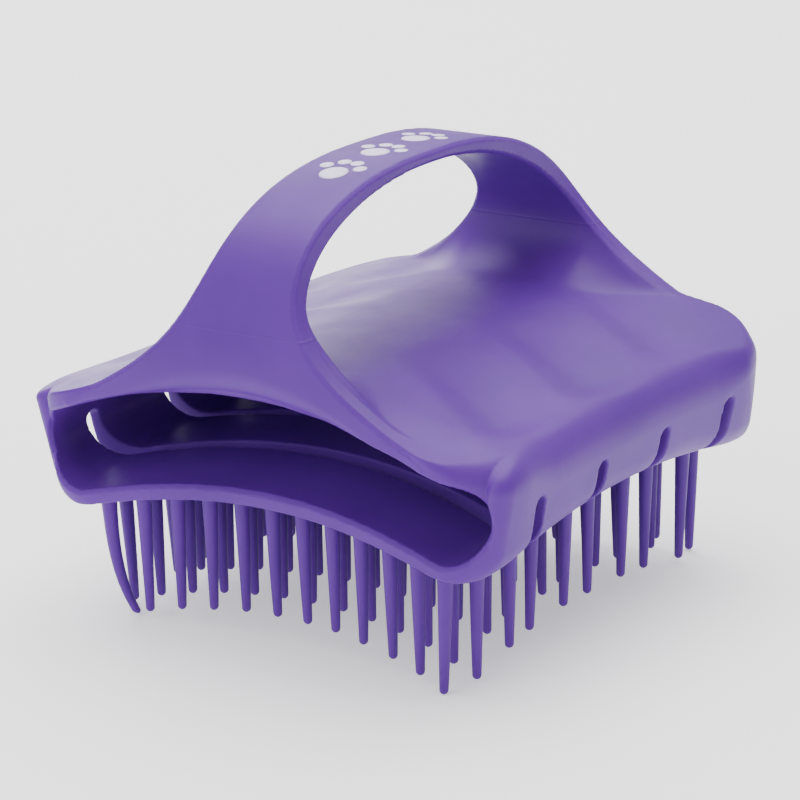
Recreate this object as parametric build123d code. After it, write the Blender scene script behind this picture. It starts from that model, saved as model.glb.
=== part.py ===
from build123d import *
import os

# A flexible grooming curry comb, moulded in one piece: a hollow sleeve open at the front and the
# back, a strap arched over it for the hand, and ten rows of tapered pins under a floor that four
# slits divide into five strips. +X is right, +Y is back, +Z is up, millimetres. The origin is
# under the middle of the comb, in the plane that the tips of the corner pins stand on.

# Pins
PIN_LENGTH = 24.3
PIN_ROOT_RADIUS = 1.5
PIN_TIP_RADIUS = 0.85
PIN_PITCH = 6.5
PIN_ROW_GAP = 6.64  # between the two rows of one strip
PIN_EDGE_X = 38.3  # the outermost pin of a long row stands a little inward of its pitch
SHORT_ROW = 12
LONG_ROW = 13

# Floor
STRIPS = 5
STRIP_PITCH = 17.07
SLIT_WIDTH = 2.8
SLIT_TOP = 35.75
FLOOR_THICKNESS = 3.1
FLOOR_DROP_X = 4.4  # fall of the arched floor, 40 mm to either side of the middle
FLOOR_DROP_Y = 3.3  # fall of the arched floor, 40 mm to the front or the back
DROP_REACH = 40.0
ROW_BOW = 0.14  # share by which rows and slits bow outward, 36 mm from the middle
BOW_REACH = 36.0
ROW_SPREAD = 0.07  # share by which the front and back rows widen, 45 mm from the middle
SPREAD_REACH = 45.0
FLOOR_EDGE_X = 40.5  # where the floor turns up into the corner
STRIP_END_X = 42.2
STRIP_CLEARANCE = 0.15  # on each side of the cut between a strip and its side wall

# Sleeve
CORNER_RADIUS = 7.2
WALL_THICKNESS = 3.0
WALL_LEAN = 0.2126  # outward run for each millimetre of height
SHOULDER_X = 45.0
SHOULDER_Z = 46.05
WALL_TOP_Z = 41.35
DECK_TOP_Z = 52.75
CEILING_Z = 49.55
CEILING_EDGE_X = 43.8
CEILING_EDGE_Z = 41.15
SIDE_BOW = 0.05  # share by which the sides spread, 45 mm from the middle
SIDE_REACH = 45.0
DECK_SPLIT_Z = 39.35

# Strap
ARCH_HALF_LENGTH = 51.2
ARCH_BASE_Z = 49.35
ARCH_TOP_Z = 86.05
ARCH_POWER = 2.5
HOLE_HALF_LENGTH = 47.0
HOLE_BASE_Z = 55.35
HOLE_TOP_Z = 83.55
HOLE_POWER = 2.1
STRAP_HALF_WIDTH = 8.7
STRAP_FLARE = 22.0  # extra half width of the strap at the arch's base
STRAP_FLARE_START_Z = 30.05
STRAP_FLARE_HEIGHT = 21.8
STRAP_SPLIT_Z = 55.35

# Outline seen from above, at the floor and at the deck: each end is a shallow hollow curve
LOW_Z, LOW_MIDDLE_Y, LOW_EDGE_Y, LOW_SIDE_X = 27.35, 44.0, 47.8, 52.0
HIGH_Z, HIGH_MIDDLE_Y, HIGH_EDGE_Y, HIGH_SIDE_X = 49.35, 50.6, 53.0, 54.4
PLAN_EDGE_X = 38.0
PLAN_CORNER_RADIUS = 8.0
PLAN_FOOT_Z = 6.0

REACH = 60.0  # beyond the comb on every side
LOFT_STATIONS = [-56.0, -28.0, 0.0, 28.0, 56.0]


def floor_drop(x, y):
    """How far the underside of the floor lies below its crown."""
    return FLOOR_DROP_X * (x / DROP_REACH) ** 2 + FLOOR_DROP_Y * (y / DROP_REACH) ** 2


def bowed(y, x):
    """The y of a row or slit at x, where it is y in the middle."""
    return y * (1 + ROW_BOW * (x / BOW_REACH) ** 2)


def even_row(count):
    return [(i - (count - 1) / 2) * PIN_PITCH for i in range(count)]


def row_layout():
    """The (x, y) of each pin, for each row from front to back."""
    layout = []
    for strip in range(STRIPS):
        middle = (strip - (STRIPS - 1) / 2) * STRIP_PITCH
        layout.append(middle - PIN_ROW_GAP / 2)
        layout.append(middle + PIN_ROW_GAP / 2)
    rows = []
    for middle_y in layout:
        if middle_y in (layout[0], layout[-1]):
            row_x = even_row(SHORT_ROW)
        else:
            row_x = [max(-PIN_EDGE_X, min(PIN_EDGE_X, x)) for x in even_row(LONG_ROW)]
        rows.append([spread(x, bowed(middle_y, x)) for x in row_x])
    return rows


def spread(x, y):
    """A pin's place, from its even pitch x in a row that passes through y there."""
    return x * (1 + ROW_SPREAD * (y / SPREAD_REACH) ** 2), y


ROWS = row_layout()
CROWN_Z = PIN_LENGTH + max(floor_drop(x, y) for row in ROWS for x, y in row)


def side_scale(y):
    return 1 + SIDE_BOW * (y / SIDE_REACH) ** 2


def section_wire(y, floor_z, right_edges, roof_z):
    """A closed wire across the comb at y.

    The right edges run from the floor to the roof as (x, z) points: two make a line, three an arc.
    The left side is their mirror image, and one arc each spans the floor and the roof.
    """
    foot = right_edges[0][0]
    shoulder = right_edges[-1][-1]
    left_edges = [[(-x, z) for x, z in reversed(points)] for points in reversed(right_edges)]
    floor = [left_edges[-1][-1], (0, floor_z), foot]
    roof = [shoulder, (0, roof_z), left_edges[0][0]]
    scale = side_scale(y)
    edges = []
    for points in [floor, *right_edges, roof, *left_edges]:
        placed = [(x * scale, y, z) for x, z in points]
        edges.append(Line(*placed) if len(placed) == 2 else ThreePointArc(*placed))
    return Wire(edges)


def corner_arc(y, radius):
    """Three points of the floor-to-wall corner arc of this radius, on the right side."""
    slope = -2 * FLOOR_DROP_X * FLOOR_EDGE_X / DROP_REACH**2
    down = Vector(slope, -1).normalized()
    out = Vector(1, -WALL_LEAN).normalized()
    foot = Vector(FLOOR_EDGE_X, CROWN_Z - floor_drop(FLOOR_EDGE_X, y))
    centre = foot - down * CORNER_RADIUS
    between = (down + out).normalized()
    arc = [centre + direction * radius for direction in (down, between, out)]
    return [(point.X, point.Y) for point in arc]


def wall_edges(y, corner_radius, wall_top_z, shoulder_mid, shoulder_end):
    """The right side of a section: corner arc, leaning wall, and shoulder arc.

    The shoulder's middle point is given from the top of the wall.
    """
    corner = corner_arc(y, corner_radius)
    corner_x, corner_z = corner[-1]
    wall_x = corner_x + (wall_top_z - corner_z) * WALL_LEAN
    wall_top = (wall_x, wall_top_z)
    middle = (wall_x + shoulder_mid[0], wall_top_z + shoulder_mid[1])
    return [corner, [corner[-1], wall_top], [wall_top, middle, shoulder_end]]


def outer_section(y):
    right = wall_edges(y, CORNER_RADIUS, WALL_TOP_Z, (-1.3, 3.3), (SHOULDER_X, SHOULDER_Z))
    return section_wire(y, CROWN_Z - floor_drop(0, y), right, DECK_TOP_Z)


def inner_section(y):
    radius = CORNER_RADIUS - WALL_THICKNESS
    wall_top_z = CEILING_EDGE_Z - 3.4
    right = wall_edges(y, radius, wall_top_z, (-0.7, 2.3), (CEILING_EDGE_X, CEILING_EDGE_Z))
    return section_wire(y, CROWN_Z - floor_drop(0, y) + FLOOR_THICKNESS, right, CEILING_Z)


def plan_outline(z, middle_y, edge_y, side_x):
    """The comb's outline seen from above, at height z."""
    right_x = PLAN_EDGE_X / side_x
    corner_y = middle_y + (edge_y - middle_y) / right_x**2
    front = ThreePointArc((-side_x, -corner_y), (0, -middle_y), (side_x, -corner_y))
    right = Line((side_x, -corner_y), (side_x, corner_y))
    back = ThreePointArc((side_x, corner_y), (0, middle_y), (-side_x, corner_y))
    left = Line((-side_x, corner_y), (-side_x, -corner_y))
    outline = make_face([front, right, back, left])
    outline = fillet(outline.vertices(), PLAN_CORNER_RADIUS)
    return Pos(0, 0, z) * outline


def plan_body():
    """Everything within the comb's outline: it spreads from the floor to the deck."""
    share = (LOW_Z - PLAN_FOOT_Z) / (HIGH_Z - LOW_Z)

    def foot(low, high):
        return low - (high - low) * share

    bottom = plan_outline(
        PLAN_FOOT_Z,
        foot(LOW_MIDDLE_Y, HIGH_MIDDLE_Y),
        foot(LOW_EDGE_Y, HIGH_EDGE_Y),
        foot(LOW_SIDE_X, HIGH_SIDE_X),
    )
    top = plan_outline(HIGH_Z, HIGH_MIDDLE_Y, HIGH_EDGE_Y, HIGH_SIDE_X)
    return loft([bottom, top], ruled=True) + extrude(top, REACH)


def arch_profile(half_length, base_z, top_z, power, foot):
    """A face in the YZ plane under a rounded arch, closed along the foot's points."""
    steps = 12
    points = []
    for i in range(-steps, steps + 1):
        share = abs(i) / steps
        z = base_z + (top_z - base_z) * (1 - share**2)
        across = (1 - (1 - share**2) ** power) ** (1 / power)
        points.append((half_length * across * (1 if i > 0 else -1), z))
    crown = Spline([Vector(0, y, z) for y, z in points], tangents=[(0, 0, 1), (0, 0, -1)])
    base = [crown @ 1] + [Vector(0, y, z) for y, z in foot] + [crown @ 0]
    return make_face([crown, *Polyline(base).edges()])


def strap_half_width(z):
    """The bell-shaped front view of the strap."""
    height = (z - STRAP_FLARE_START_Z) / STRAP_FLARE_HEIGHT
    base = (ARCH_BASE_Z - STRAP_FLARE_START_Z) / STRAP_FLARE_HEIGHT
    return STRAP_HALF_WIDTH + STRAP_FLARE * 2.718281828 ** (base**2 - height**2)


def bell_profile():
    """The strap's outline in the XZ plane."""
    low_z = SHOULDER_Z
    top_z = ARCH_TOP_Z + 3
    heights = [low_z + (top_z - low_z) * i / 10 for i in range(11)]
    right = Spline([Vector(strap_half_width(z), 0, z) for z in heights])
    left = mirror(right, Plane.YZ)
    top = Line(right @ 1, left.edge() @ 1)
    bottom = Line(right @ 0, left.edge() @ 0)
    return make_face([right, top, *left.edges(), bottom])


def slab(low_z, high_z, low_x=-REACH, high_x=REACH, low_y=-REACH, high_y=REACH):
    """A box between the given limits."""
    size = (high_x - low_x, high_y - low_y, high_z - low_z)
    middle = ((low_x + high_x) / 2, (low_y + high_y) / 2, (low_z + high_z) / 2)
    return Pos(*middle) * Box(*size)


def slit_cutter(middle_y):
    """A slit across the floor, bowed outward, which climbs both side walls to a round top."""
    half = SLIT_WIDTH / 2
    reach_y = bowed(middle_y, REACH)
    near = ThreePointArc((-REACH, reach_y - half), (0, middle_y - half), (REACH, reach_y - half))
    far = ThreePointArc((REACH, reach_y + half), (0, middle_y + half), (-REACH, reach_y + half))
    band = make_face([near, Line(near @ 1, far @ 0), far, Line(far @ 1, near @ 0)])
    band_top = SLIT_TOP - half
    cutter = extrude(band, band_top + 2)
    cutter -= slab(band_top, band_top + 3, low_x=FLOOR_EDGE_X)
    cutter -= slab(band_top, band_top + 3, high_x=-FLOOR_EDGE_X)
    wall_y = bowed(middle_y, HIGH_SIDE_X - WALL_THICKNESS)
    round_end = Cylinder(half, REACH, rotation=(0, 90, 0))
    for side in (-1, 1):
        cutter += Pos(side * (FLOOR_EDGE_X + REACH / 2), wall_y, band_top) * round_end
    return cutter


def tapered_pin(x, y):
    """One pin with a round tip; it runs a little way into the floor, which trims it."""
    tip_z = CROWN_Z - floor_drop(x, y) - PIN_LENGTH
    height = PIN_LENGTH + 1 - PIN_TIP_RADIUS
    shaft = Pos(0, 0, height / 2) * Cone(PIN_TIP_RADIUS, PIN_ROOT_RADIUS, height)
    return Pos(x, y, tip_z + PIN_TIP_RADIUS) * (shaft + Sphere(PIN_TIP_RADIUS))


def pin_row(row, floor):
    """One row of pins that hang from the underside of a floor strip."""
    pins = []
    for x, y in row:
        pin = tapered_pin(x, y) - floor
        pins.append(min(pin.solids(), key=lambda solid: solid.center().Z))
    return Compound(pins)


def write(name, shape):
    export_step(shape, f"parts/{name}.step")


os.makedirs("parts", exist_ok=True)

# The sleeve, and the hollow through it
plan = plan_body()
outside = Solid.make_loft([outer_section(y) for y in LOFT_STATIONS])
hollow = Solid.make_loft([inner_section(y) for y in LOFT_STATIONS])
sleeve = (outside - hollow) & plan

# The strap over the sleeve: an arch in side view, a bell in front view, open for the hand
arch_foot = [(ARCH_HALF_LENGTH, SHOULDER_Z), (-ARCH_HALF_LENGTH, SHOULDER_Z)]
arch = extrude(arch_profile(ARCH_HALF_LENGTH, ARCH_BASE_Z, ARCH_TOP_Z, ARCH_POWER, arch_foot), REACH, both=True)
hole_corner_y = HOLE_HALF_LENGTH - 10
hole_foot = [
    (HOLE_HALF_LENGTH - 3, ARCH_BASE_Z + 1.5),
    (hole_corner_y, ARCH_BASE_Z),
    (hole_corner_y, SHOULDER_Z - 6),
    (-hole_corner_y, SHOULDER_Z - 6),
    (-hole_corner_y, ARCH_BASE_Z),
    (3 - HOLE_HALF_LENGTH, ARCH_BASE_Z + 1.5),
]
hand_hole = extrude(arch_profile(HOLE_HALF_LENGTH, HOLE_BASE_Z, HOLE_TOP_Z, HOLE_POWER, hole_foot), REACH, both=True)
bell = extrude(bell_profile(), REACH, both=True)
upper = ((arch & bell) - hand_hole - hollow) + (sleeve & slab(DECK_SPLIT_Z, REACH))
write("handle_strap", upper & slab(STRAP_SPLIT_Z, 2 * REACH))
write("palm_deck", upper & slab(0, STRAP_SPLIT_Z))

# The slits, and the side walls that they cut into legs
slit_pitches = [(i - STRIPS / 2) * STRIP_PITCH for i in range(1, STRIPS)]
slits = [slit_cutter(y) for y in slit_pitches]
lower = sleeve & slab(0, DECK_SPLIT_Z)
for slit in slits:
    lower -= slit
wall_x = STRIP_END_X + STRIP_CLEARANCE
write("left_side_wall", lower & slab(0, DECK_SPLIT_Z, high_x=-wall_x))
write("right_side_wall", lower & slab(0, DECK_SPLIT_Z, low_x=wall_x))

# The five floor strips with their pins
strip_x = STRIP_END_X - STRIP_CLEARANCE
floor = lower & slab(0, DECK_SPLIT_Z, low_x=-strip_x, high_x=strip_x)
floor_strips = sorted(floor.solids(), key=lambda solid: solid.center().Y)
for strip, solid in enumerate(floor_strips):
    write(f"floor_strip_{strip + 1}", solid)
    for row in (2 * strip, 2 * strip + 1):
        write(f"pin_row_{row + 1:02}", pin_row(ROWS[row], solid))
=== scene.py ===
import math
import random

import bmesh
import bpy
import numpy as np
from mathutils import Matrix, Vector


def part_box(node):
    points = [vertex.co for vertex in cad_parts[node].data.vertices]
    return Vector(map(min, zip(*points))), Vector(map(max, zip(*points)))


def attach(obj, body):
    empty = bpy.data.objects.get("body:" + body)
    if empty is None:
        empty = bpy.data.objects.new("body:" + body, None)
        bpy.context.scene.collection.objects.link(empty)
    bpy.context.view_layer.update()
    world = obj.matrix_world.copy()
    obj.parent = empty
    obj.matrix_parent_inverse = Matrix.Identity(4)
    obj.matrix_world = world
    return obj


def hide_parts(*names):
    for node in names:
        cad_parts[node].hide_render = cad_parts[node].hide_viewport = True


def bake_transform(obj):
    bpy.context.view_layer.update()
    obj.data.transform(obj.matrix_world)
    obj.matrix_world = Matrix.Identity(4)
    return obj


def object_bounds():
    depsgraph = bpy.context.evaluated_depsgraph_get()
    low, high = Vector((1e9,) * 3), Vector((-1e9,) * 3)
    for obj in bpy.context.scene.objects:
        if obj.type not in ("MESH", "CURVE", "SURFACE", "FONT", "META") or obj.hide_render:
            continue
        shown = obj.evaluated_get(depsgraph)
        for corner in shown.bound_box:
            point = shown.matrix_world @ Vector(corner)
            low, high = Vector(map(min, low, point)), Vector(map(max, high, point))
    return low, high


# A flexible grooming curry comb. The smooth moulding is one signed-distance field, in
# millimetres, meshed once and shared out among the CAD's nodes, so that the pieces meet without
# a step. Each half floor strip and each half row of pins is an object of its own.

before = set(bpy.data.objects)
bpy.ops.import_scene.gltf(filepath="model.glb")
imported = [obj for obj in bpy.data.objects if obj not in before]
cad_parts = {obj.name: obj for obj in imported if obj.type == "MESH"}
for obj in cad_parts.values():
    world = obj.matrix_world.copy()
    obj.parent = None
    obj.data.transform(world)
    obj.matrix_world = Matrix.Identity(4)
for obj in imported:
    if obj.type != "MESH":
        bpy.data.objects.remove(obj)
cad_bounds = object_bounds()

MM = 0.001
VOXEL = 0.5


def box_mm(node):
    """A CAD node's lowest and highest corners, in millimetres."""
    low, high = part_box(node)
    return [v / MM for v in low], [v / MM for v in high]


STRIPS = 5
strap_low, strap_high = box_mm("handle_strap")
deck_low, deck_high = box_mm("palm_deck")
strip_high = box_mm("floor_strip_3")[1]

# Sizes are in millimetres. A pair such as CORNER_X is a range over which something fades in or
# out: the distances from the middle, along X or Y, where it starts and is complete.

# Floor, walls and deck. A drop is a parabola's fall at DROP_REACH from the middle.
DROP_REACH = 40.0
FLOOR_THICKNESS = 3.1
CROWN_Z = strip_high[2] - FLOOR_THICKNESS  # the underside of the floor, in the middle
FLOOR_DROP_X = 4.4
FLOOR_DROP_Y = 3.3
STRIP_END_X = strip_high[0]
WALL_X = STRIP_END_X + 8.0  # half width at the crown's height, half way along
WALL_LEAN = 0.2126
WALL_SPREAD = 1.0  # extra half width at WALL_SPREAD_REACH from the middle
WALL_SPREAD_REACH = 32.0
WALL_THICKNESS = 2.9  # at the sleeve's ends
WALL_THINNING = 1.0  # the side walls are thinner by this where the slits climb them
THICK_WALL_Y = (35, 43)
HOLLOW_TOP_RADIUS = 5.5  # of the sleeve's inner corners
HOLLOW_FOOT_RADIUS = 8.0
FOOT_RADIUS = 7.2
SHOULDER_RADIUS = 7.0  # half way along
SHOULDER_END_RADIUS = 3.0  # at the right-hand corners
SHARP_END_RADIUS = 1.0  # at the left-hand ones
SHOULDER_Y = (28, 46)
CEILING_Z = CROWN_Z + 18.0
CEILING_DROP = 7.0
DECK_TOP_Z = CROWN_Z + 21.2
DECK_DROP = 5.5
END_DROP = 1.3  # the deck falls this much more in front, beside the strap's foot
END_DROP_X, END_DROP_Y = (20, 34), (38, 52)
CORNER_DROP = 0.7  # and this much more at its front corners
CORNER_DROP_X, CORNER_DROP_Y = (42, 50), (36, 48)

# The sleeve's ends, which are hollow curves between corners that come forward
END_LIMIT = deck_high[1] - 0.15
END_Y = deck_high[1] - 8.4  # the deck's end in the middle
END_FOOT_Z = 28.5
END_HEIGHT = 21.0
END_SHARES = (-0.4, 1.1)  # limits to the share of END_HEIGHT above END_FOOT_Z
END_LEAN = 1.0  # the end lies this much farther out at the deck than at its foot
END_HOLLOW = 8.0  # how far it comes forward at END_REACH, at the deck
END_FOOT_HOLLOW = 4.7  # and at the foot
END_REACH = 39.0
END_ROUNDING = 4.0  # where the curve meets END_LIMIT
TURN_LENGTH = 12.0
SIDE_TURN = 2.4  # the side walls turn inward by this in TURN_LENGTH beyond TURN_START_Y
INNER_TURN = 0.95  # and their inner faces by this
TURN_START_Y = 37.0
END_TURN = 5.6  # the ends turn back by this in TURN_LENGTH beyond TURN_START_X, at the foot,
END_TURN_GROWTH = 6.0  # by this much more at the deck,
FRONT_TURN = 1.3  # and the front by this many times as much, out to FRONT_TURN_LIMIT_X
TURN_START_X = 38.0
FRONT_TURN_LIMIT_X = 48.8
EDGE_RADIUS = 0.5
CORNER_RADIUS = 3.0
CORNER_X = (37, 48)  # from where EDGE_RADIUS holds to where CORNER_RADIUS does
CHAMFER = 0.7  # of the rims of the strap and the sleeve

# Strap
STRAP_SPLIT_Z = strap_low[2]
DECK_SPLIT_Z = deck_low[2]
PRINT_HEIGHT = 0.04
ARCH_LENGTH = strap_high[1] + 0.25
ARCH_BASE_Z = CROWN_Z + 17.8
ARCH_RISE = strap_high[2] - PRINT_HEIGHT - ARCH_BASE_Z
ARCH_POWER = 2.5
HOLE_LENGTH = ARCH_LENGTH - 4.2
HOLE_BASE_Z = STRAP_SPLIT_Z
HOLE_RISE = strap_high[2] - 2.5 - HOLE_BASE_Z
HOLE_POWER = 2.1
STRAP_LEAN = 0.4  # the soft strap leans this far to the left, over its lower 20 mm
STRAP_LEAN_Z = (STRAP_SPLIT_Z - 5, STRAP_SPLIT_Z + 15)
STRAP_HALF_WIDTH = 8.7
FLARE_WIDTH = 48.6
FLARE_START_Z = CROWN_Z - 1.5
FLARE_HEIGHT = 21.8
PARTING_Z = CROWN_Z + 30.5  # a faint line where two parts of the mould met
PARTING_HALF_WIDTH = 0.3
STRAP_LIMIT_X = 40.0  # inside the deck the strap's feet go no wider than this
FOOT_ROLL = 5.5  # the strap's front face rolls under by this radius in the middle
FOOT_ROLL_REACH = 30.0
FILLET = 14.0  # between the strap's inner face and the deck,
FILLET_X, FILLET_Y = (12, 32), (45, 50.5)  # fading out over these
OUTER_FILLET = 0.8

# Finger hollows on each side of the deck
FINGER_HOLLOWS = 3
FINGER_DEPTH = 1.1
FINGER_PITCH = 27.0
FINGER_FIRST_Y = -34.8  # where the first one's front edge crosses FINGER_REACH
FINGER_REACH = 40.0
FINGER_SWEEP = 0.52
FINGER_HOOK = 9.0  # beyond FINGER_REACH each front edge curves back by this in FINGER_HOOK_X
FINGER_HOOK_X = 8.0
FINGER_FRONT, FINGER_BACK = (-3, 6), (7, 25)
FINGER_INNER_X, FINGER_OUTER_X = (11, 26), (41, 49)

# Slits
STRIP_PITCH = 17.07
SLIT_HALF_WIDTH = 1.5
SLIT_TOP_Z = CROWN_Z + 4.2
SLIT_EDGE_RADIUS = 0.35
ROW_BOW = 0.14
BOW_REACH = 36.0

# Pins
PIN_LENGTH = 24.3
PIN_ROOT_RADIUS = 1.5
PIN_TIP_RADIUS = 0.85
PIN_ROOT_FLARE = [(0.75, -0.5), (0.7, 0.0), (0.28, 0.3), (0.06, 0.8)]  # (extra radius, depth)
PIN_ROOT_DEPTH = 1.5  # down to here the rings tilt towards the floor's slope
PIN_SHAFT_RINGS = 8
PIN_SIDES = 18
PIN_PITCH = 6.5
PIN_ROW_GAP = 6.64
PIN_EDGE_X = 38.3
SHORT_ROW = 12
LONG_ROW = 13
ROW_SPREAD = 0.07
SPREAD_REACH = 45.0
PIN_LEAN = 0.8  # the outer pins' tips lean inward by this
LEAN_CHANCE = 0.15  # no two pins are quite alike
CURL_CHANCE = 0.2
CORNER_PIN_CURL = (3.0, 2.2)  # the pin at the front left corner is bent inward and back
CORNER_PIN_LIMITS = (-34, -38)  # it is the one beyond these

# The print on the strap. A disc is (x, y, radius) from its paw's middle.
PAWS = 3
PAW_PITCH = 13.0
PAW_MIDDLE_Y = -4.5
PAW_DISCS = [(0, -1.5, 2.7), (-3.7, 1.5, 1.3), (-1.4, 3.9, 1.3), (1.4, 3.9, 1.3), (3.7, 1.5, 1.3)]
DISC_RINGS = 3
DISC_SIDES = 32

# Meshing
PROJECTION_STEPS = 3
PROBE = 0.05  # half the distance over which the field's gradient is measured
NORMAL_PROBE = 0.2  # and for the normals
FLOOR_CORNER_SHARE = 1.8  # (54 / DROP_REACH) squared, for the floor's corners

# Camera and lights, in metres and watts
AIM = (-0.00655, 0.00782, 0.03364)
LIGHT_AIM = (0, 0, 0.04)
LIGHTS = [
    ("overhead", (-0.15, 0.3, 1.2), 1.5, 32),
    ("front", (-0.3, -1.1, 0.7), 1.0, 7),
    ("back", (-1.05, 0.87, 0.34), 0.6, 5.5),
]
STAGE_REACH = 3.0


# The field


def round_max(a, b, radius):
    """The overlap of two solids, with the edge between them rounded."""
    corner = np.hypot(np.maximum(a + radius, 0), np.maximum(b + radius, 0))
    return np.minimum(np.maximum(a, b), -radius) + corner


def chamfer_max(a, b, width):
    """The overlap of two solids, with the edge between them cut off flat."""
    return np.maximum(np.maximum(a, b), (a + b + width) * math.sqrt(0.5))


def round_min(a, b, radius):
    """Two solids joined, with a fillet between them."""
    return -round_max(-a, -b, radius)


def smooth_step(low, high, value):
    share = np.clip((value - low) / (high - low), 0, 1)
    return share * share * (3 - 2 * share)


def drop(amount, distance):
    """A parabola's fall at a distance from the middle."""
    return amount * (distance / DROP_REACH) ** 2


def drop_slope(amount, distance):
    return 2 * amount * distance / DROP_REACH**2


def floor_z(x, y):
    """The underside of the floor."""
    return CROWN_Z - drop(FLOOR_DROP_X, x) - drop(FLOOR_DROP_Y, y)


def below_floor(x, y, z):
    """The distance below the floor's underside."""
    return (floor_z(x, y) - z) / np.hypot(1, drop_slope(FLOOR_DROP_X, x))


def bowed(y, x):
    """The y of a row or slit at x, where it is y in the middle."""
    return y * (1 + ROW_BOW * (x / BOW_REACH) ** 2)


def finger_hollows(x, y):
    """The depth of the hollows, each with a short slope in front and a long one behind."""
    side = np.abs(x)
    hook = FINGER_HOOK * (np.maximum(side - FINGER_REACH, 0) / FINGER_HOOK_X) ** 2
    depth = 0
    for i in range(FINGER_HOLLOWS):
        front_y = FINGER_FIRST_Y + i * FINGER_PITCH - FINGER_SWEEP * (side - FINGER_REACH)
        behind = y - front_y - hook
        depth = depth + smooth_step(*FINGER_FRONT, behind) * (1 - smooth_step(*FINGER_BACK, behind))
    across = smooth_step(*FINGER_INNER_X, side) * (1 - smooth_step(*FINGER_OUTER_X, side))
    return FINGER_DEPTH * depth * across


def end_drop(x, y):
    """How far the deck falls away in front, beside the strap's foot and at its corners."""
    side = np.abs(x)
    beside = END_DROP * smooth_step(*END_DROP_Y, -y) * smooth_step(*END_DROP_X, side)
    return beside + CORNER_DROP * smooth_step(*CORNER_DROP_Y, -y) * smooth_step(*CORNER_DROP_X, side)


def sleeve_side(x, y, z, turning):
    """The distance outside the sleeve's leaning side walls."""
    share = np.maximum(np.abs(y) - TURN_START_Y, 0) / TURN_LENGTH
    inward, slope = turning * share**2, 2 * turning * share / TURN_LENGTH
    spread = WALL_SPREAD * (y / WALL_SPREAD_REACH) ** 2
    half_width = WALL_X + WALL_LEAN * (z - CROWN_Z) + spread - inward
    return (np.abs(x) - half_width) / np.sqrt(1 + WALL_LEAN**2 + slope**2)


def sleeve_end(x, y, z):
    """The distance beyond the sleeve's ends, which are hollow curves with round corners."""
    share = np.clip((z - END_FOOT_Z) / END_HEIGHT, *END_SHARES)
    front = y < 0
    side = np.abs(x)
    reach = np.where(front, np.minimum(side, FRONT_TURN_LIMIT_X), side) - TURN_START_X
    turned = np.maximum(reach, 0) / TURN_LENGTH
    amount = (END_TURN + END_TURN_GROWTH * share) * np.where(front, FRONT_TURN, 1)
    hollow = (END_FOOT_HOLLOW + (END_HOLLOW - END_FOOT_HOLLOW) * share) * (x / END_REACH) ** 2
    slope = 2 * amount * turned / TURN_LENGTH - 2 * END_HOLLOW * side / END_REACH**2
    end_y = END_Y - END_LEAN * (1 - share) + hollow - amount * turned**2
    curved = (np.abs(y) - end_y) / np.hypot(1, slope)
    return round_max(curved, np.abs(y) - END_LIMIT, END_ROUNDING)


def deck_above(x, y, z):
    """The distance above the deck."""
    top_z = DECK_TOP_Z - drop(DECK_DROP, x) - finger_hollows(x, y) - end_drop(x, y)
    return (z - top_z) / np.hypot(1, drop_slope(DECK_DROP, x))


def sleeve_outside(x, y, z):
    """The sleeve with its hollow filled in."""
    outward = smooth_step(*CORNER_X, np.abs(x))
    edge = EDGE_RADIUS + (CORNER_RADIUS - EDGE_RADIUS) * outward
    section = round_max(sleeve_side(x, y, z, SIDE_TURN), below_floor(x, y, z), FOOT_RADIUS)
    body = round_max(section, sleeve_end(x, y, z), edge)
    corner = np.where(x < 0, SHARP_END_RADIUS, SHOULDER_END_RADIUS)
    rim = EDGE_RADIUS + (corner - EDGE_RADIUS) * outward
    shoulder = rim + (SHOULDER_RADIUS - rim) * (1 - smooth_step(*SHOULDER_Y, np.abs(y)))
    return round_max(body, deck_above(x, y, z), shoulder)


def ceiling(x, z):
    """The distance above the sleeve's ceiling."""
    return (z - CEILING_Z + drop(CEILING_DROP, x)) / np.hypot(1, drop_slope(CEILING_DROP, x))


def sleeve_hollow(x, y, z):
    """The space through the sleeve, open at both ends."""
    wall = WALL_THICKNESS - WALL_THINNING * (1 - smooth_step(*THICK_WALL_Y, np.abs(y)))
    side = sleeve_side(x, y, z, INNER_TURN) + wall
    floor = below_floor(x, y, z) + FLOOR_THICKNESS
    return round_max(round_max(ceiling(x, z), side, HOLLOW_TOP_RADIUS), floor, HOLLOW_FOOT_RADIUS)


def arch(y, z, length, base_z, rise, power):
    """The distance outside a rounded arch, seen from the side."""
    across = np.abs(y) / length
    up = np.maximum(z - base_z, 0) / rise
    total = np.maximum(across**power + up**power, 1e-6)
    size = total ** (1 / power)
    pull = size / total
    gradient = np.hypot(pull * across ** (power - 1) / length, pull * up ** (power - 1) / rise)
    return (size - 1) / np.maximum(gradient, 1e-3)


def bell(x, z):
    """The distance outside the strap's bell-shaped front view."""
    height = (z - FLARE_START_Z) / FLARE_HEIGHT
    flare = FLARE_WIDTH * np.exp(-(height**2))
    slope = 2 * height * flare / FLARE_HEIGHT
    return (np.abs(x) - STRAP_HALF_WIDTH - flare) / np.hypot(1, slope)


def strap(x, y, z):
    """The strap, whose feet reach into the deck."""
    x = x + STRAP_LEAN * smooth_step(*STRAP_LEAN_Z, z)
    outside = arch(y, z, ARCH_LENGTH, ARCH_BASE_Z, ARCH_RISE, ARCH_POWER)
    inside = arch(y, z, HOLE_LENGTH, HOLE_BASE_Z, HOLE_RISE, HOLE_POWER)
    roll = FOOT_ROLL * np.maximum(1 - (x / FOOT_ROLL_REACH) ** 2, 0) + EDGE_RADIUS
    band = round_max(round_max(outside, -ceiling(x, z), roll), -inside, EDGE_RADIUS)
    return chamfer_max(band, np.maximum(bell(x, z), np.abs(x) - STRAP_LIMIT_X), CHAMFER)


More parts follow.
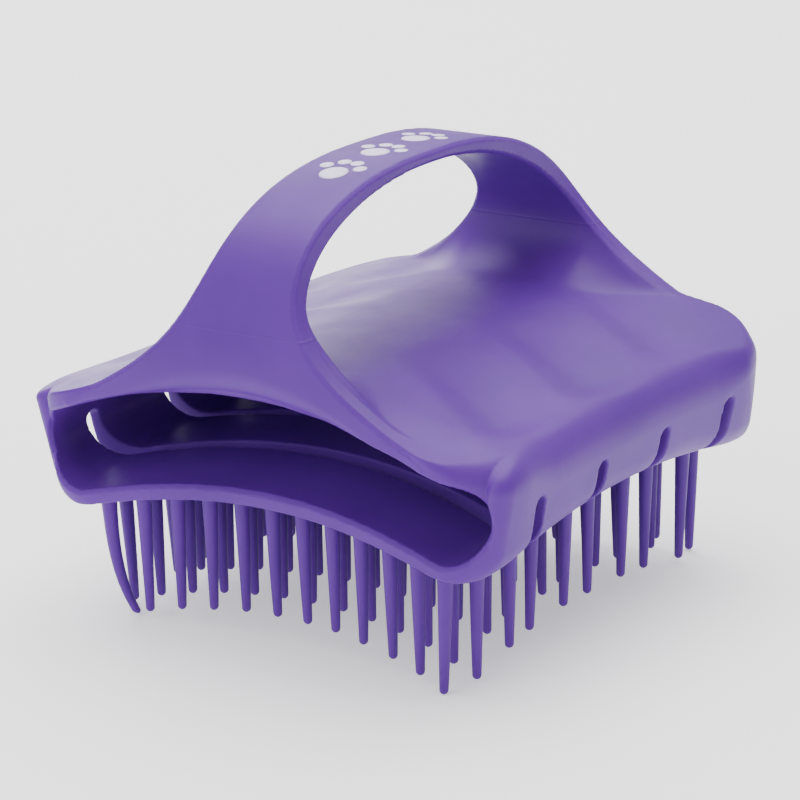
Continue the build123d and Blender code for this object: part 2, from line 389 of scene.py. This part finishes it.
def slit(x, y, z, middle_y):
    """A slit through the floor that climbs both side walls to a round top."""
    slope = 2 * middle_y * ROW_BOW * x / BOW_REACH**2
    across = (y - bowed(middle_y, x)) / np.hypot(1, slope)
    above = np.maximum(z - (SLIT_TOP_Z - SLIT_HALF_WIDTH), 0)
    return np.hypot(across, above) - SLIT_HALF_WIDTH


SLIT_YS = [(i - STRIPS / 2) * STRIP_PITCH for i in range(1, STRIPS)]


def moulding(x, y, z):
    """The whole comb but its pins: negative inside, millimetres outside."""
    inward = (1 - smooth_step(*FILLET_Y, np.abs(y))) * (1 - smooth_step(*FILLET_X, np.abs(x)))
    fillet = OUTER_FILLET + FILLET * inward
    solid = round_min(strap(x, y, z), sleeve_outside(x, y, z), fillet)
    solid = chamfer_max(solid, -sleeve_hollow(x, y, z), CHAMFER)
    for middle_y in SLIT_YS:
        solid = round_max(solid, -slit(x, y, z, middle_y), SLIT_EDGE_RADIUS)
    return solid


# Meshing


def grid_axis(low, high):
    count = int(math.ceil((high - low) / VOXEL)) + 1
    return low + VOXEL * np.arange(count)


def cell_corners(values, cells):
    """The field at the eight corners of each cell, and the corners' offsets."""
    offsets = np.array([(i, j, k) for i in (0, 1) for j in (0, 1) for k in (0, 1)])
    corners = [values[tuple((cells + offset).T)] for offset in offsets]
    return np.stack(corners, axis=1), offsets


def net_vertices(values, cells):
    """One vertex in each cell that the surface passes through, in grid steps."""
    corners, offsets = cell_corners(values, cells)
    total = np.zeros((len(cells), 3))
    count = np.zeros((len(cells), 1))
    for a in range(8):
        for b in range(a + 1, 8):
            if np.abs(offsets[a] - offsets[b]).sum() != 1:
                continue
            first, second = corners[:, a], corners[:, b]
            crosses = (first < 0) != (second < 0)
            gap = np.where(crosses, first - second, 1)
            share = np.where(crosses, first / gap, 0)[:, None]
            point = offsets[a] + share * (offsets[b] - offsets[a])
            total += np.where(crosses[:, None], point, 0)
            count += crosses[:, None]
    return cells + total / count


def net_faces(inside, number):
    """A quad across each grid edge that the surface crosses; number holds each cell's vertex."""
    faces = []
    for axis in range(3):
        u, v = (axis + 1) % 3, (axis + 2) % 3
        low = [slice(1, -1)] * 3
        high = [slice(1, -1)] * 3
        low[axis] = slice(0, -1)
        high[axis] = slice(1, None)
        here, there = inside[tuple(low)], inside[tuple(high)]
        for start, flip in ((here & ~there, False), (there & ~here, True)):
            edge = np.argwhere(start)
            edge[:, u] += 1
            edge[:, v] += 1
            quad = []
            for du, dv in ((0, 0), (-1, 0), (-1, -1), (0, -1)):
                cell = edge.copy()
                cell[:, u] += du
                cell[:, v] += dv
                quad.append(number[tuple(cell.T)])
            faces.append(np.stack(quad[::-1] if flip else quad, axis=1))
    return np.concatenate(faces)


def gradient_at(points, reach):
    """The field's gradient at each point."""
    columns = []
    for axis in range(3):
        shift = np.zeros(3)
        shift[axis] = reach
        ahead = moulding(*(points + shift).T)
        behind = moulding(*(points - shift).T)
        columns.append((ahead - behind) / (2 * reach))
    return np.stack(columns, axis=1)


def field_normals(points):
    gradient = gradient_at(points, NORMAL_PROBE)
    return gradient / np.maximum(np.linalg.norm(gradient, axis=1, keepdims=True), 1e-6)


def mesh_moulding():
    """Vertices and quads of the moulding, in millimetres."""
    low = np.array(cad_bounds[0]) / MM - 2 * VOXEL
    high = np.array(cad_bounds[1]) / MM + 2 * VOXEL
    low[2] = CROWN_Z - (FLOOR_DROP_X + FLOOR_DROP_Y) * FLOOR_CORNER_SHARE - 2 * VOXEL
    axes = [grid_axis(low[i], high[i]) for i in range(3)]
    values = np.stack([moulding(x, axes[1][:, None], axes[2][None, :]) for x in axes[0]])
    inside = values < 0
    count = np.zeros([size - 1 for size in inside.shape], dtype=np.int8)
    for i in (0, 1):
        for j in (0, 1):
            for k in (0, 1):
                ends = [size - 1 for size in inside.shape]
                count += inside[i : i + ends[0], j : j + ends[1], k : k + ends[2]]
    cells = np.argwhere((count > 0) & (count < 8))
    number = np.full(count.shape, -1)
    number[tuple(cells.T)] = np.arange(len(cells))
    start = low + VOXEL * net_vertices(values, cells)
    points = start
    for _ in range(PROJECTION_STEPS):
        gradient = gradient_at(points, PROBE)
        size = np.maximum((gradient**2).sum(axis=1), 0.25)
        step = moulding(*points.T) / size
        points = np.clip(points - step[:, None] * gradient, start - VOXEL / 2, start + VOXEL / 2)
    return points, net_faces(inside, number)


def cut_across(bm, axis, place, below=None):
    """Adds edges where the plane across an axis meets the faces that lie below a height."""
    faces = [f for f in bm.faces if below is None or f.calc_center_median().z < below]
    edges = {edge for face in faces for edge in face.edges}
    verts = {vert for face in faces for vert in face.verts}
    plane = [0, 0, 0]
    plane[axis] = place
    normal = [0, 0, 0]
    normal[axis] = 1
    bmesh.ops.bisect_plane(bm, geom=[*verts, *edges, *faces], dist=0.02, plane_co=plane, plane_no=normal)


def cut_moulding(points, quads):
    """The moulding's vertices and faces, with edges along every cut between two pieces."""
    whole = bpy.data.meshes.new("whole")
    whole.from_pydata(points.tolist(), [], quads.tolist())
    bm = bmesh.new()
    bm.from_mesh(whole)
    cut_across(bm, 2, STRAP_SPLIT_Z)
    cut_across(bm, 2, DECK_SPLIT_Z)
    for place in (-STRIP_END_X, 0, STRIP_END_X):
        cut_across(bm, 0, place, below=DECK_SPLIT_Z)
    bm.verts.index_update()
    points = np.array([vert.co for vert in bm.verts])
    faces = [[vert.index for vert in face.verts] for face in bm.faces]
    bm.free()
    bpy.data.meshes.remove(whole)
    return points, faces


def owner(centre):
    """The name of the piece that a face belongs to."""
    x, y, z = centre
    if z > STRAP_SPLIT_Z:
        return "handle_strap"
    if z > DECK_SPLIT_Z:
        return "palm_deck"
    side = "left" if x < 0 else "right"
    if abs(x) > STRIP_END_X:
        return f"{side}_side_wall"
    strip = 1 + sum(y > bowed(middle_y, x) for middle_y in SLIT_YS)
    return f"floor_strip_{strip}_{side}"


def share_out(points, faces):
    """The faces of each piece, by the piece's name."""
    pieces = {}
    for face in faces:
        pieces.setdefault(owner(points[face].mean(axis=0)), []).append(face)
    return pieces


def new_piece(name, faces, points, normals):
    """One piece of the moulding, closed where it was cut from its neighbours."""
    used = sorted({index for face in faces for index in face})
    renumber = {index: i for i, index in enumerate(used)}
    mesh = bpy.data.meshes.new(name)
    mesh.from_pydata((points[used] * MM).tolist(), [], [[renumber[i] for i in face] for face in faces])
    bm = bmesh.new()
    bm.from_mesh(mesh)
    rim = [edge for edge in bm.edges if edge.is_boundary]
    bmesh.ops.holes_fill(bm, edges=rim, sides=0)
    bm.to_mesh(mesh)
    bm.free()
    mesh.shade_smooth()
    mesh.normals_split_custom_set_from_vertices(normals[used].tolist())
    return link(bpy.data.objects.new(name, mesh))


def link(obj):
    bpy.context.scene.collection.objects.link(obj)
    return obj


# Pins


def pin_rows():
    """The (x, y) of each pin, for each row from front to back."""
    rows = []
    for row in range(2 * STRIPS):
        strip_y = (row // 2 - (STRIPS - 1) / 2) * STRIP_PITCH
        middle_y = strip_y + PIN_ROW_GAP * (row % 2 - 0.5)
        count = SHORT_ROW if row in (0, 2 * STRIPS - 1) else LONG_ROW
        even = [(i - (count - 1) / 2) * PIN_PITCH for i in range(count)]
        places = []
        for x in even:
            x = max(-PIN_EDGE_X, min(PIN_EDGE_X, x))
            y = bowed(middle_y, x)
            places.append((x * (1 + ROW_SPREAD * (y / SPREAD_REACH) ** 2), y))
        rows.append(places)
    return rows


def pin_profile():
    """(radius, height below the floor) of a pin, from a small root fillet to its round tip."""
    profile = [(PIN_ROOT_RADIUS + extra, depth) for extra, depth in PIN_ROOT_FLARE]
    start = PIN_ROOT_FLARE[-1][1]
    shaft = PIN_LENGTH - PIN_TIP_RADIUS
    for i in range(1, PIN_SHAFT_RINGS + 1):
        share = i / PIN_SHAFT_RINGS
        radius = PIN_ROOT_RADIUS + (PIN_TIP_RADIUS - PIN_ROOT_RADIUS) * share
        profile.append((radius, start + (shaft - start) * share))
    for i in range(1, 5):
        angle = math.radians(90 * i / 4.2)
        profile.append((PIN_TIP_RADIUS * math.cos(angle), shaft + PIN_TIP_RADIUS * math.sin(angle)))
    return profile


PIN_PROFILE = pin_profile()


def pin_points(x, y, lean, curl):
    """The rings of one pin. It leans evenly, and curls more towards its tip."""
    points = []
    slope_x, slope_y = -drop_slope(FLOOR_DROP_X, x), -drop_slope(FLOOR_DROP_Y, y)
    rise = 0.9 * (curl[0] ** 2 + curl[1] ** 2) / PIN_LENGTH  # a bent pin ends higher up
    for radius, depth in PIN_PROFILE:
        share = max(depth, 0) / PIN_LENGTH
        centre_x = x + lean[0] * share + curl[0] * share**3
        centre_y = y + lean[1] * share + curl[1] * share**3
        centre_z = floor_z(x, y) - depth + rise * share**5
        tilt = max(1 - depth / PIN_ROOT_DEPTH, 0)
        for i in range(PIN_SIDES):
            angle = 2 * math.pi * i / PIN_SIDES
            dx, dy = radius * math.cos(angle), radius * math.sin(angle)
            dz = tilt * (slope_x * dx + slope_y * dy)
            points.append((centre_x + dx, centre_y + dy, centre_z + dz))
    return points


def pin_faces():
    """The faces between a pin's rings, and its two ends."""
    faces = []
    rings = len(PIN_PROFILE)
    for ring in range(rings - 1):
        for i in range(PIN_SIDES):
            j = (i + 1) % PIN_SIDES
            a, b = ring * PIN_SIDES, (ring + 1) * PIN_SIDES
            faces.append((a + i, b + i, b + j, a + j))
    last = (rings - 1) * PIN_SIDES
    faces.append(tuple(last + i for i in reversed(range(PIN_SIDES))))
    faces.append(tuple(range(PIN_SIDES)))
    return faces


def half_row(places, side):
    """The places of the pins that stand on a row's left or right half."""
    return [place for place in places if (place[0] < -1) == (side == "left")]


def join(parts):
    """Several (points, faces) as one."""
    points, faces = [], []
    for more, ends in parts:
        first = len(points)
        points += more
        faces += [tuple(first + i for i in face) for face in ends]
    return points, faces


def pin_group(name, places, chance):
    """One object for one half of a row."""
    parts = []
    for x, y in places:
        outer = abs(x) / PIN_EDGE_X
        lean_x = -math.copysign(PIN_LEAN * outer**6, x) + chance.uniform(-LEAN_CHANCE, LEAN_CHANCE)
        lean_y = chance.uniform(-CURL_CHANCE, CURL_CHANCE)
        curl = (chance.uniform(-CURL_CHANCE, CURL_CHANCE), 0)
        if x < CORNER_PIN_LIMITS[0] and y < CORNER_PIN_LIMITS[1]:
            curl = CORNER_PIN_CURL
        parts.append((pin_points(x, y, (lean_x, lean_y), curl), pin_faces()))
    return new_mesh(name, *join(parts))


def new_mesh(name, points, faces):
    """A smooth-shaded object from points in millimetres."""
    mesh = bpy.data.meshes.new(name)
    mesh.from_pydata([tuple(v * MM for v in point) for point in points], [], faces)
    mesh.shade_smooth()
    return link(bpy.data.objects.new(name, mesh))


# Print


def strap_top(y):
    return ARCH_BASE_Z + ARCH_RISE * (1 - (abs(y) / ARCH_LENGTH) ** ARCH_POWER) ** (1 / ARCH_POWER)


def disc_print(middle_x, middle_y, radius):
    """Points and faces of a flat disc that follows the strap's top."""
    points, faces = [(middle_x - STRAP_LEAN, middle_y, strap_top(middle_y) + PRINT_HEIGHT)], []
    for ring in range(1, DISC_RINGS + 1):
        reach = radius * ring / DISC_RINGS
        for i in range(DISC_SIDES):
            angle = 2 * math.pi * i / DISC_SIDES
            x, y = middle_x + reach * math.cos(angle), middle_y + reach * math.sin(angle)
            points.append((x - STRAP_LEAN, y, strap_top(y) + PRINT_HEIGHT))
    for i in range(DISC_SIDES):
        j = (i + 1) % DISC_SIDES
        faces.append((0, 1 + i, 1 + j))
        for ring in range(DISC_RINGS - 1):
            inner, outer = 1 + ring * DISC_SIDES, 1 + (ring + 1) * DISC_SIDES
            faces.append((inner + i, outer + i, outer + j, inner + j))
    return points, faces


def strap_print(name):
    """Plain paw prints in a row along the strap's top, each of one pad and four toes."""
    parts = []
    for paw in range(PAWS):
        paw_y = PAW_MIDDLE_Y + (paw - (PAWS - 1) / 2) * PAW_PITCH
        parts += [disc_print(x, paw_y + y, radius) for x, y, radius in PAW_DISCS]
    obj = new_mesh(name, *join(parts))
    ink = obj.modifiers.new("ink", "SOLIDIFY")
    ink.thickness = 2 * PRINT_HEIGHT * MM
    ink.offset = -1
    return obj


# Materials


def set_inputs(node, **values):
    for name, value in values.items():
        node.inputs[name.replace("_", " ")].default_value = value


def new_material(name):
    """A material, its nodes and links, its shader and a node for the object's own coordinates."""
    material = bpy.data.materials.new(name)
    material.use_nodes = True
    nodes, links = material.node_tree.nodes, material.node_tree.links
    return material, nodes, links, nodes["Principled BSDF"], nodes.new("ShaderNodeTexCoord")


def add_noise(nodes, links, place, scale, detail, roughness=0.5):
    node = nodes.new("ShaderNodeTexNoise")
    set_inputs(node, Scale=scale, Detail=detail, Roughness=roughness)
    links.new(place.outputs["Object"], node.inputs["Vector"])
    return node.outputs["Fac"]


def add_range(nodes, links, value, source, target):
    """Maps a value from one range to another."""
    node = nodes.new("ShaderNodeMapRange")
    links.new(value, node.inputs["Value"])
    node.inputs["From Min"].default_value, node.inputs["From Max"].default_value = source
    node.inputs["To Min"].default_value, node.inputs["To Max"].default_value = target
    return node


def add_bump(nodes, links, height, strength, distance, under=None):
    """Relief of a height in metres, on top of the relief under it."""
    node = nodes.new("ShaderNodeBump")
    set_inputs(node, Strength=strength, Distance=distance)
    links.new(height, node.inputs["Height"])
    if under is not None:
        links.new(under, node.inputs["Normal"])
    return node.outputs["Normal"]


def add_math(nodes, links, operation, value):
    node = nodes.new("ShaderNodeMath")
    node.operation = operation
    links.new(value, node.inputs[0])
    return node


def parting_ridge(nodes, links, place):
    """1 on the mould's parting line, and 0 away from it."""
    split = nodes.new("ShaderNodeSeparateXYZ")
    links.new(place.outputs["Object"], split.inputs["Vector"])
    above = add_math(nodes, links, "SUBTRACT", split.outputs["Z"])
    above.inputs[1].default_value = PARTING_Z * MM
    distance = add_math(nodes, links, "ABSOLUTE", above.outputs["Value"])
    ridge = add_range(nodes, links, distance.outputs["Value"], (0, PARTING_HALF_WIDTH * MM), (1, 0))
    ridge.interpolation_type = "SMOOTHSTEP"
    return ridge.outputs["Result"]


def rubber_material():
    """Satin purple elastomer: clouded colour, smudged gloss, mould grain and a parting line."""
    material, nodes, links, shader, place = new_material("purple_rubber")
    clouds = add_noise(nodes, links, place, 38.0, 4.0)
    tint = nodes.new("ShaderNodeMix")
    tint.data_type = "RGBA"
    tint.inputs["A"].default_value = (0.074, 0.012, 0.222, 1)
    tint.inputs["B"].default_value = (0.097, 0.017, 0.270, 1)
    amount = add_range(nodes, links, clouds, (0.3, 0.7), (0.0, 1.0))
    links.new(amount.outputs["Result"], tint.inputs["Factor"])
    links.new(tint.outputs["Result"], shader.inputs["Base Color"])

    smudges = add_noise(nodes, links, place, 95.0, 5.0, 0.6)
    gloss = add_range(nodes, links, smudges, (0.3, 0.7), (0.40, 0.50))
    links.new(gloss.outputs["Result"], shader.inputs["Roughness"])

    grain = add_noise(nodes, links, place, 2600.0, 3.0, 0.55)
    waves = add_noise(nodes, links, place, 160.0, 2.0)
    relief = add_bump(nodes, links, grain, 0.16, 0.00006)
    relief = add_bump(nodes, links, waves, 0.25, 0.0002, relief)
    relief = add_bump(nodes, links, parting_ridge(nodes, links, place), 0.5, 0.0001, relief)
    links.new(relief, shader.inputs["Normal"])

    shader.inputs["IOR"].default_value = 1.5
    shader.inputs["Specular IOR Level"].default_value = 0.25
    shader.inputs["Subsurface Weight"].default_value = 0.06
    shader.inputs["Subsurface Radius"].default_value = (0.5, 0.35, 1.0)
    shader.inputs["Subsurface Scale"].default_value = 0.0015
    return material


def print_material():
    """Pale lilac ink, a little worn."""
    material, nodes, links, shader, place = new_material("lilac_print")
    wear = add_noise(nodes, links, place, 900.0, 6.0, 0.7)
    ramp = nodes.new("ShaderNodeValToRGB")
    worn, whole = ramp.color_ramp.elements
    worn.position, worn.color = 0.30, (0.36, 0.27, 0.66, 1)
    whole.position, whole.color = 0.40, (0.74, 0.68, 0.92, 1)
    links.new(wear, ramp.inputs["Fac"])
    links.new(ramp.outputs["Color"], shader.inputs["Base Color"])
    shader.inputs["Roughness"].default_value = 0.5
    return material


def floor_material():
    material = bpy.data.materials.new("pale_floor")
    material.use_nodes = True
    shader = material.node_tree.nodes["Principled BSDF"]
    shader.inputs["Base Color"].default_value = (0.92, 0.92, 0.93, 1)
    shader.inputs["Roughness"].default_value = 0.9
    shader.inputs["Emission Color"].default_value = (1, 1, 1, 1)
    shader.inputs["Emission Strength"].default_value = 0.5
    return material


# The scene


def add_camera(azimuth, elevation, roll, distance, aim, lens):
    """A camera that looks at aim from the given angles."""
    az, el, turn = (math.radians(v) for v in (azimuth, elevation, roll))
    back = Vector((math.sin(az) * math.cos(el), -math.cos(az) * math.cos(el), math.sin(el)))
    right = Vector((math.cos(az), math.sin(az), 0))
    up = back.cross(right)
    across = math.cos(turn) * right + math.sin(turn) * up
    upright = math.cos(turn) * up - math.sin(turn) * right
    camera = bpy.data.objects.new("camera", bpy.data.cameras.new("camera"))
    camera.data.lens = lens
    camera.data.sensor_width = 36
    camera.data.clip_start = 0.01
    matrix = Matrix((across, upright, back)).transposed().to_4x4()
    matrix.translation = Vector(aim) + back * distance
    camera.matrix_world = matrix
    bpy.context.scene.collection.objects.link(camera)
    bpy.context.scene.camera = camera


def add_light(name, place, size, power):
    """A soft square light that faces the comb."""
    data = bpy.data.lights.new(name, "AREA")
    data.size = size
    data.energy = power
    light = bpy.data.objects.new(name, data)
    light.location = place
    light.rotation_euler = (Vector(LIGHT_AIM) - Vector(place)).to_track_quat("-Z", "Y").to_euler()
    bpy.context.scene.collection.objects.link(light)


def add_stage():
    """A pale floor and an even white world."""
    corners = [(x * STAGE_REACH, y * STAGE_REACH, 0) for x, y in ((-1, -1), (1, -1), (1, 1), (-1, 1))]
    mesh = bpy.data.meshes.new("floor")
    mesh.from_pydata(corners, [], [(0, 1, 2, 3)])
    floor = bpy.data.objects.new("floor", mesh)
    floor.data.materials.append(floor_material())
    bpy.context.scene.collection.objects.link(floor)
    world = bpy.data.worlds.new("studio")
    world.use_nodes = True
    background = world.node_tree.nodes["Background"]
    background.inputs["Color"].default_value = (1, 1, 1, 1)
    background.inputs["Strength"].default_value = 0.75
    bpy.context.scene.world = world


def bend(obj):
    """Bakes the placement of a half strip, or of the pins on it, into its mesh."""
    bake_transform(obj)


rubber = rubber_material()
points, faces = cut_moulding(*mesh_moulding())
normals = field_normals(points)
pieces = share_out(points, faces)

for name in ("handle_strap", "palm_deck", "left_side_wall", "right_side_wall"):
    piece = new_piece(name + "_skin", pieces[name], points, normals)
    piece.data.materials.append(rubber)
    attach(piece, "comb_body")
    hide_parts(name)

for strip in range(1, STRIPS + 1):
    for side in ("left", "right"):
        name = f"floor_strip_{strip}_{side}"
        piece = new_piece(name, pieces[name], points, normals)
        piece.data.materials.append(rubber)
        bend(piece)
        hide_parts(f"floor_strip_{strip}")

chance = random.Random(7)
for row, places in enumerate(pin_rows(), start=1):
    for side in ("left", "right"):
        piece = pin_group(f"pin_row_{row:02}_{side}", half_row(places, side), chance)
        piece.data.materials.append(rubber)
        bend(piece)
        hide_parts(f"pin_row_{row:02}")

piece = strap_print("strap_print")
piece.data.materials.append(print_material())
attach(piece, "comb_body")

add_stage()
add_camera(35.54, 17.24, -1.89, 0.600, AIM, 140.1)
for light in LIGHTS:
    add_light(*light)
